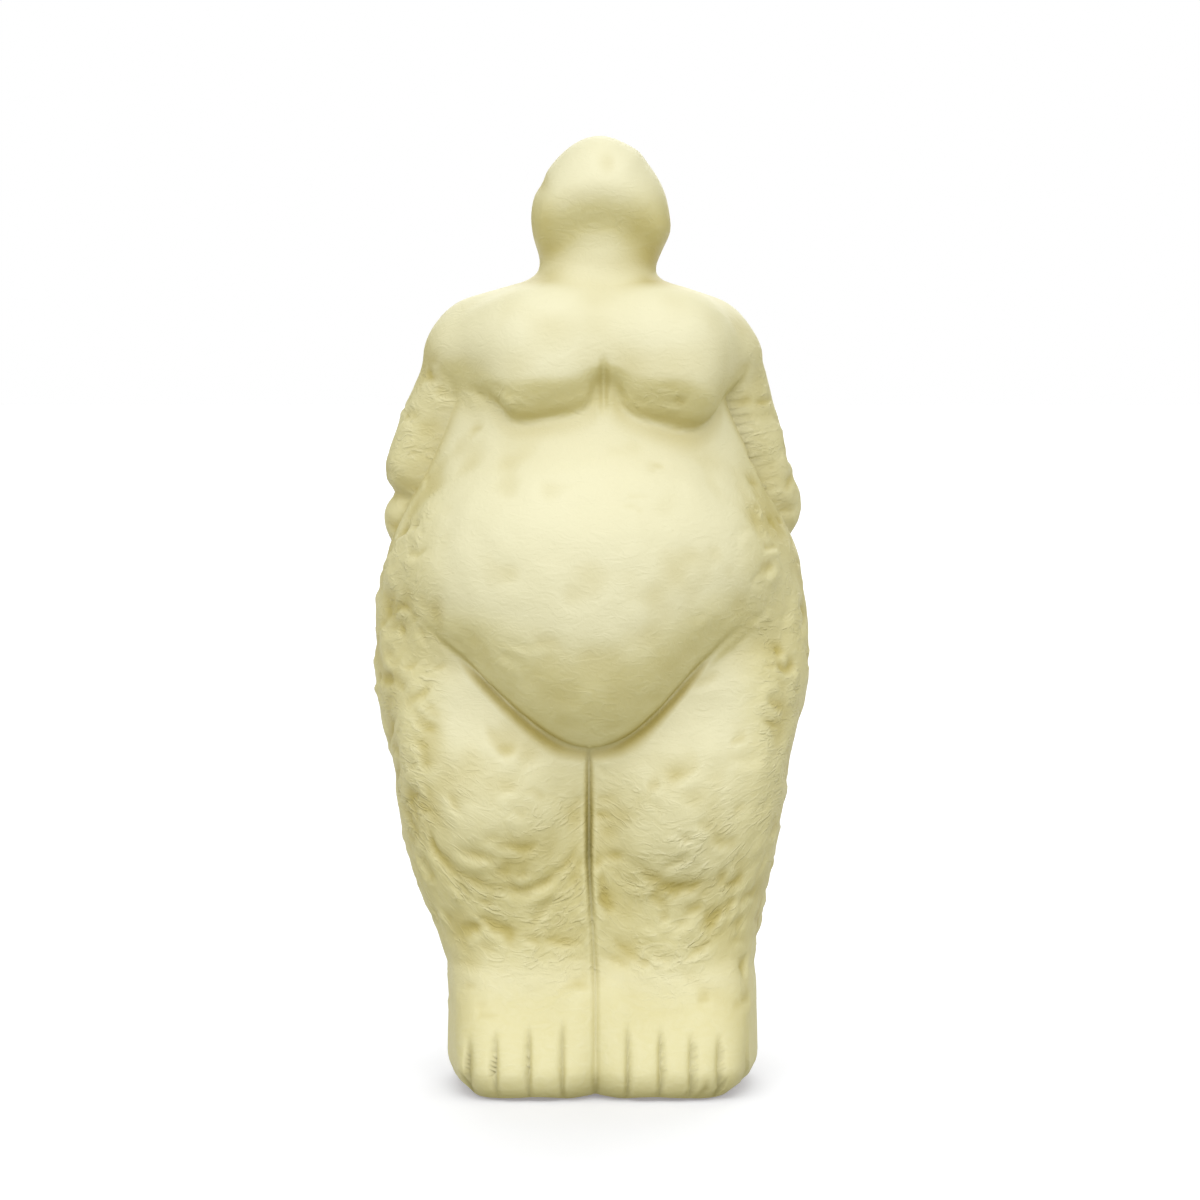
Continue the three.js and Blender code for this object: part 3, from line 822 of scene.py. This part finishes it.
class FigurineLook(bpy.types.PropertyGroup):
    """Colours and finish of the cast stone."""

    clay_light: bpy.props.FloatVectorProperty(
        name="Light clay", description="The brighter clouds of the surface", subtype="COLOR",
        size=4, min=0, max=1, default=(0.82, 0.79, 0.62, 1))
    clay_dark: bpy.props.FloatVectorProperty(
        name="Dark clay", description="The darker clouds of the surface", subtype="COLOR", size=4,
        min=0, max=1, default=(0.79, 0.755, 0.57, 1))
    # Partly real staining of the rough clay and partly painted shade under things and on the feet.
    stain_and_shade_colour: bpy.props.FloatVectorProperty(
        name="Rough clay", description="The stained colour of the roughly worked places",
        subtype="COLOR", size=4, min=0, max=1, default=(0.705, 0.65, 0.375, 1))
    # Painted shade: the dark colour at the bottom of the carved grooves.
    painted_groove_shade_colour: bpy.props.FloatVectorProperty(
        name="Grooves", description="The dark colour at the bottom of the carved grooves",
        subtype="COLOR", size=4, min=0, max=1, default=(0.24, 0.21, 0.07, 1))
    # Painted shade: the darker colour laid in folds, dents and hollows.
    painted_fold_shade_colour: bpy.props.FloatVectorProperty(
        name="Folds", description="The colour that gathers in grooves and folds", subtype="COLOR",
        size=4, min=0, max=1, default=(0.52, 0.44, 0.16, 1))
    roughness: bpy.props.FloatProperty(
        name="Roughness", description="How dull the surface is", subtype="FACTOR", default=0.55,
        min=0, max=1)


class FigurineStage(bpy.types.PropertyGroup):
    """Floor, lights and camera."""

    floor_colour: bpy.props.FloatVectorProperty(
        name="Floor", description="Colour of the floor", subtype="COLOR", size=4, min=0, max=1,
        default=(0.93, 0.93, 0.93, 1))
    floor_glow: bpy.props.FloatProperty(
        name="Floor glow", description="Light that the floor gives off, as over a light box",
        default=0.36)
    glow_colour: bpy.props.FloatVectorProperty(
        name="Glow colour", description="Colour of the floor's own light", subtype="COLOR", size=4,
        min=0, max=1, default=(0.52, 0.56, 0.98, 1))
    # Painted shadow: the dimmer colour of the floor's light close to the figure.
    painted_shadow_glow_colour: bpy.props.FloatVectorProperty(
        name="Glow near the figure", description="Colour of that light close to the figure",
        subtype="COLOR", size=4, min=0, max=1, default=(0.05, 0.08, 0.46, 1))
    floor_size: bpy.props.FloatProperty(
        name="Floor size", description="Width of the floor", unit="LENGTH", default=12.0)
    room_light: bpy.props.FloatProperty(
        name="Room light", description="Strength of the even light from all round", default=0.36)
    room_colour: bpy.props.FloatVectorProperty(
        name="Room colour", description="Colour of the even light", subtype="COLOR", size=4, min=0,
        max=1, default=(1, 0.94, 0.42, 1))
    lamp_colour: bpy.props.FloatVectorProperty(
        name="Lamp colour", description="Colour of the soft lights", subtype="COLOR", size=3,
        min=0, max=1, default=(0.93, 0.95, 1.0))
    front_light: bpy.props.FloatProperty(
        name="Front light", description="Strength of the soft light from the front", default=1.8)
    side_light: bpy.props.FloatProperty(
        name="Side lights", description="Strength of the soft lights at both sides", default=0.56)
    top_light: bpy.props.FloatProperty(
        name="Top light", description="Strength of the soft light from above", default=0.6)
    back_light: bpy.props.FloatProperty(
        name="Back light", description="Strength of the soft light from behind", default=1.3)
    camera_distance: bpy.props.FloatProperty(
        name="Camera distance", description="From the camera to the figure", unit="LENGTH",
        default=1.3725)
    camera_rise: bpy.props.FloatProperty(
        name="Camera rise", description="How far the camera looks down", subtype="ANGLE",
        default=float(np.radians(4.0)))
    camera_lens: bpy.props.FloatProperty(
        name="Focal length", description="Focal length of the camera in mm", default=150.0)
    aim: bpy.props.FloatVectorProperty(
        name="Aim", description="The point in the middle of the picture", subtype="TRANSLATION",
        default=(0.0024, 0.0, 0.1331))


class FigurineSettings(bpy.types.PropertyGroup):
    """All settings of the figurine and its stage."""

    form: bpy.props.PointerProperty(type=FigurineForm)
    look: bpy.props.PointerProperty(type=FigurineLook)
    stage: bpy.props.PointerProperty(type=FigurineStage)


# Operators

class FIGURINE_OT_body(bpy.types.Operator):
    """Makes the cast figurine."""

    bl_idname = "figurine.body"
    bl_label = "Cast figurine"

    def execute(self, context):
        settings = context.scene.figurine
        turn, height, rise = ray_grid(settings.form.columns, settings.form.rows)
        plain = surface_points(turn, height, rise)
        normals = smoothed(grid_normals(plain), NORMAL_ROUNDS)
        height, marks = relief(plain, normals)
        points = plain + normals * height[..., None]
        poles = np.array([points[0].mean(0), points[-1].mean(0)])
        poles[0, 2], poles[1, 2] = 0.0, points[..., 2].max()
        flat = np.concatenate([points.reshape(-1, 3), poles])
        low, high = (np.array(corner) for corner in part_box(SOLID))
        made = make_mesh("cast_figurine", fill_box(flat, low, high), *grid_faces(*plain.shape[:2]))
        x, y, z = np.moveaxis(plain, -1, 0)
        upright = (z - stroke_level(x, z)) / SMEAR_HEIGHT
        # The folds attribute holds painted shade in folds, hollows and under things.
        set_attribute(made, "folds", painted_fold_shade(plain, normals, height))
        # The grooves attribute holds painted shade in the carved grooves and the toe pit.
        set_attribute(made, "grooves", painted_groove_shade(x, y, z))
        set_attribute(made, "marks", marks)
        set_attribute(made, "smear", np.stack([x / SMEAR_LENGTH, y / SMEAR_LENGTH, upright], -1))
        # Partly real staining of the rough clay, partly painted shade under things and on the
        # feet.
        set_attribute(made, "stain", stain_and_painted_shade(plain, normals))
        made.data.materials.append(stone_material(settings.look))
        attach(made, "root")
        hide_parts(SOLID)
        return {"FINISHED"}


class FIGURINE_OT_stage(bpy.types.Operator):
    """Makes the floor, the lights and the camera."""

    bl_idname = "figurine.stage"
    bl_label = "Stage"

    def execute(self, context):
        stage = context.scene.figurine.stage
        half = stage.floor_size / 2
        corners = half * np.array([(-1, -1, 0), (1, -1, 0), (1, 1, 0), (-1, 1, 0)])
        floor = make_mesh("floor", corners, np.array([[0, 1, 2, 3]]), np.empty((0, 3), int))
        floor.data.materials.append(floor_material(stage))
        floor.visible_diffuse = False
        add_camera(context.scene, stage)
        add_world(context.scene, stage)
        for name, setting, turn, rise, softness in LIGHTS:
            add_light(name, turn, rise, softness, getattr(stage, setting), stage.lamp_colour)
        return {"FINISHED"}


def add_world(scene, stage):
    """Warm room light of even strength, which the camera sees as plain white."""
    world = bpy.data.worlds.new("room")
    tree = Tree(world)
    light = tree.add("ShaderNodeBackground", None, {
        "Color": stage.room_colour, "Strength": stage.room_light})
    seen = tree.add("ShaderNodeBackground", None, {"Color": (1, 1, 1, 1), "Strength": 1.0})
    by_camera = tree.add("ShaderNodeLightPath", output="Is Camera Ray")
    both = tree.add("ShaderNodeMixShader", None, {0: by_camera, 1: light, 2: seen})
    tree.add("ShaderNodeOutputWorld", None, {"Surface": both})
    scene.world = world


def add_light(name, turn, rise, softness, strength, colour):
    """A broad light from far away: turned to one side of the front, and raised, in degrees."""
    data = bpy.data.lights.new(name, "SUN")
    data.energy = strength
    data.color = colour
    data.angle = np.radians(softness)
    light = bpy.data.objects.new(name, data)
    light.rotation_euler = (np.pi / 2 - np.radians(rise), 0, np.radians(turn))
    bpy.context.scene.collection.objects.link(light)


def add_camera(scene, stage):
    """Camera in front of the figure, a little above, looking at the aim point."""
    data = bpy.data.cameras.new("camera")
    data.lens = stage.camera_lens
    camera = bpy.data.objects.new("camera", data)
    away = np.array([0, -np.cos(stage.camera_rise), np.sin(stage.camera_rise)])
    camera.location = np.array(stage.aim) + away * stage.camera_distance
    camera.rotation_euler = (np.pi / 2 - stage.camera_rise, 0, 0)
    scene.collection.objects.link(camera)
    scene.camera = camera


class FIGURINE_PT_panel(bpy.types.Panel):
    """Lists the figurine's pieces and settings."""

    bl_label = "Figurine"
    bl_idname = "FIGURINE_PT_panel"
    bl_space_type = "VIEW_3D"
    bl_region_type = "UI"
    bl_category = "Figurine"

    def draw(self, context):
        settings = context.scene.figurine
        for group in (settings.form, settings.look, settings.stage):
            box = self.layout.box()
            for name in group.bl_rna.properties.keys():
                if name not in ("rna_type", "name"):
                    box.prop(group, name)
        self.layout.operator("figurine.body")
        self.layout.operator("figurine.stage")


CLASSES = (
    FigurineForm, FigurineLook, FigurineStage, FigurineSettings,
    FIGURINE_OT_body, FIGURINE_OT_stage, FIGURINE_PT_panel,
)


def register():
    """Registers the classes and hangs the settings on the scene."""
    for cls in CLASSES:
        bpy.utils.register_class(cls)
    bpy.types.Scene.figurine = bpy.props.PointerProperty(type=FigurineSettings)


def unregister():
    """Takes the settings off the scene and unregisters the classes."""
    del bpy.types.Scene.figurine
    for cls in reversed(CLASSES):
        bpy.utils.unregister_class(cls)


def main():
    """Makes the figurine and its stage."""
    register()
    bpy.context.scene.view_settings.view_transform = "Standard"
    bpy.ops.figurine.stage()
    bpy.ops.figurine.body()


if __name__ == "__main__":
    main()
